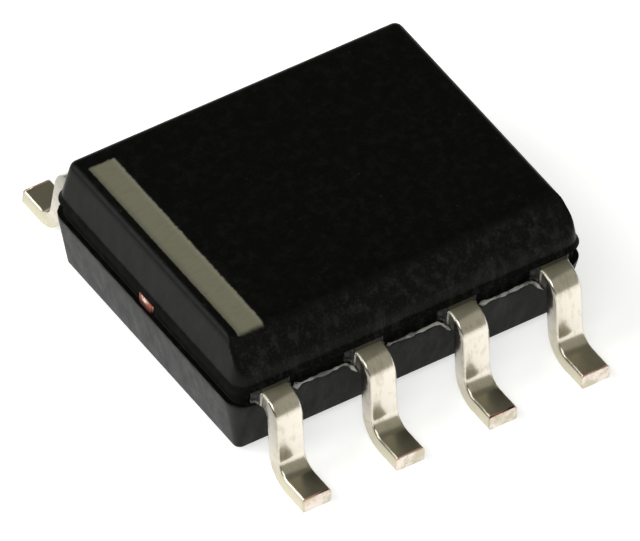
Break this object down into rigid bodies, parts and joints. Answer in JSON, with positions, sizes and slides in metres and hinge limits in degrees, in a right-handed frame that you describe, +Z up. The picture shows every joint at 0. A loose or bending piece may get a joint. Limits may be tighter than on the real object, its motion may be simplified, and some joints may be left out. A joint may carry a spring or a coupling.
{
  "type": "soic chip",
  "caption": "Small outline integrated circuit package: a black moulded body with a bevelled edge and an etched stripe, on gull-wing leads for surface mounting.",
  "frame": {"origin": "on the board plane that the feet stand on, at the middle of the outline over the eight feet", "axes": "+Z up from the board; +Y across the rows of leads, from the row of leads 1 to 4 towards the row of leads 5 to 8; +X along the rows, from lead 1 towards lead 4"},
  "size_m": [0.0048, 0.0058, 0.0017],
  "materials": {
    "moulding_compound": "black filled epoxy as moulded, finely sparkled, with light marks where it is etched",
    "tin_plate": "matte tin plating over copper, bare at the cut toes",
    "bare_copper": "stamped copper alloy sheet, silver spot plated under the die",
    "silver_epoxy": "cured silver-filled adhesive",
    "silicon": "polished silicon with a passivated top",
    "gold_wire": "bright drawn gold wire"
  },
  "bodies": {
    "root": {"moulded_body": "moulding_compound", "lead_1": "tin_plate", "lead_2": "tin_plate", "lead_3": "tin_plate", "lead_4": "tin_plate", "lead_5": "tin_plate", "lead_6": "tin_plate", "lead_7": "tin_plate", "lead_8": "tin_plate", "die_pad": "bare_copper", "die_attach": "silver_epoxy", "die": "silicon", "bond_wire_1": "gold_wire", "bond_wire_2": "gold_wire", "bond_wire_3": "gold_wire", "bond_wire_4": "gold_wire", "bond_wire_5": "gold_wire", "bond_wire_6": "gold_wire", "bond_wire_7": "gold_wire", "bond_wire_8": "gold_wire"}
  },
  "joints": []
}
